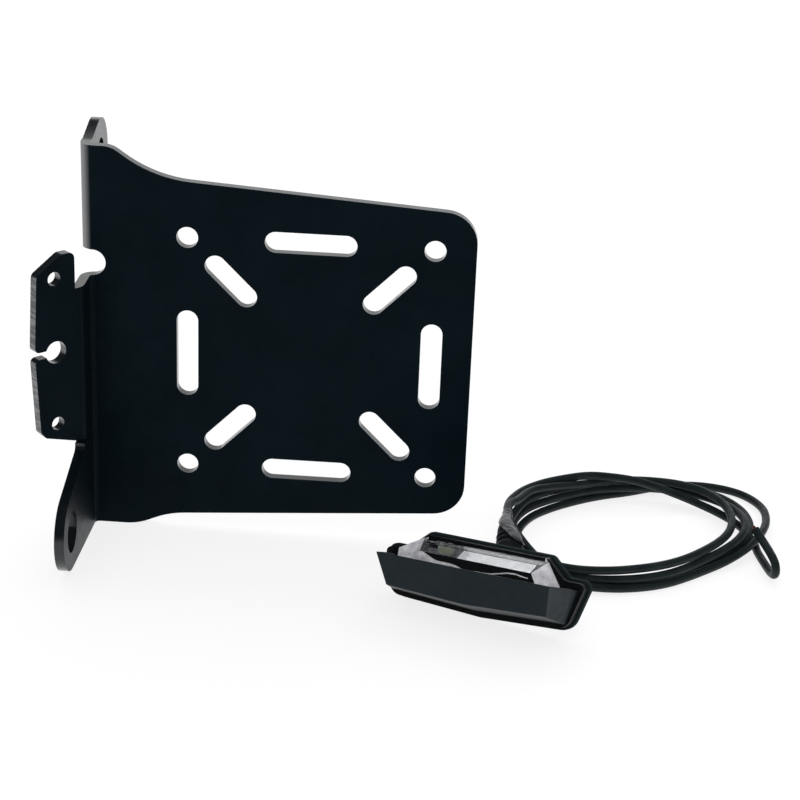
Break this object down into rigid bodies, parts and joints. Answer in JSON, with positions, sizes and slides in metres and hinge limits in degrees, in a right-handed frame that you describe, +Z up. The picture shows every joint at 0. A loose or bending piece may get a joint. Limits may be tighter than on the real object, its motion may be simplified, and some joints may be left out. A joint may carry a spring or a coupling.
{
  "type": "motorbike tail tidy",
  "caption": "Folded black steel number plate bracket with fixing holes, slots, two mounting ears and a light flag, with its own plate light on a coiled lead lying beside it.",
  "frame": {"origin": "centre of the square of number plate holes, on the front face of the plate", "axes": "-Y out of the number plate face towards the viewer, +X to the plate's free side, +Z up; the set lies on the level Z = -59.75 mm"},
  "size_m": [0.2339, 0.1252, 0.1272],
  "materials": {
    "coated_steel": "black satin powder coat",
    "gasket_rubber": "matt",
    "base_plastic": "matt",
    "visor_plastic": "satin",
    "clear_plastic": "clear, polished",
    "milky_plastic": "milky white",
    "board": "solder mask",
    "led": "yellow phosphor",
    "chip_plastic": "moulded chip body",
    "stud_steel": "zinc plated",
    "sleeve_plastic": "wrinkled shrink sleeve",
    "jacket": "satin PVC jacket",
    "copper": "bare copper"
  },
  "bodies": {
    "root": {"bracket": "coated_steel", "lamp_gasket": "gasket_rubber", "lamp_base": "base_plastic", "lamp_visor": "visor_plastic", "lamp_lens": "clear_plastic", "lamp_diffuser": "milky_plastic", "led_board": "board", "leds": "led", "driver_chip": "chip_plastic", "lamp_studs": "stud_steel", "lead_sleeve": "sleeve_plastic", "lead_in": "jacket", "lead_coil": "jacket", "lead_tail": "jacket", "lead_core": "copper"}
  },
  "joints": []
}
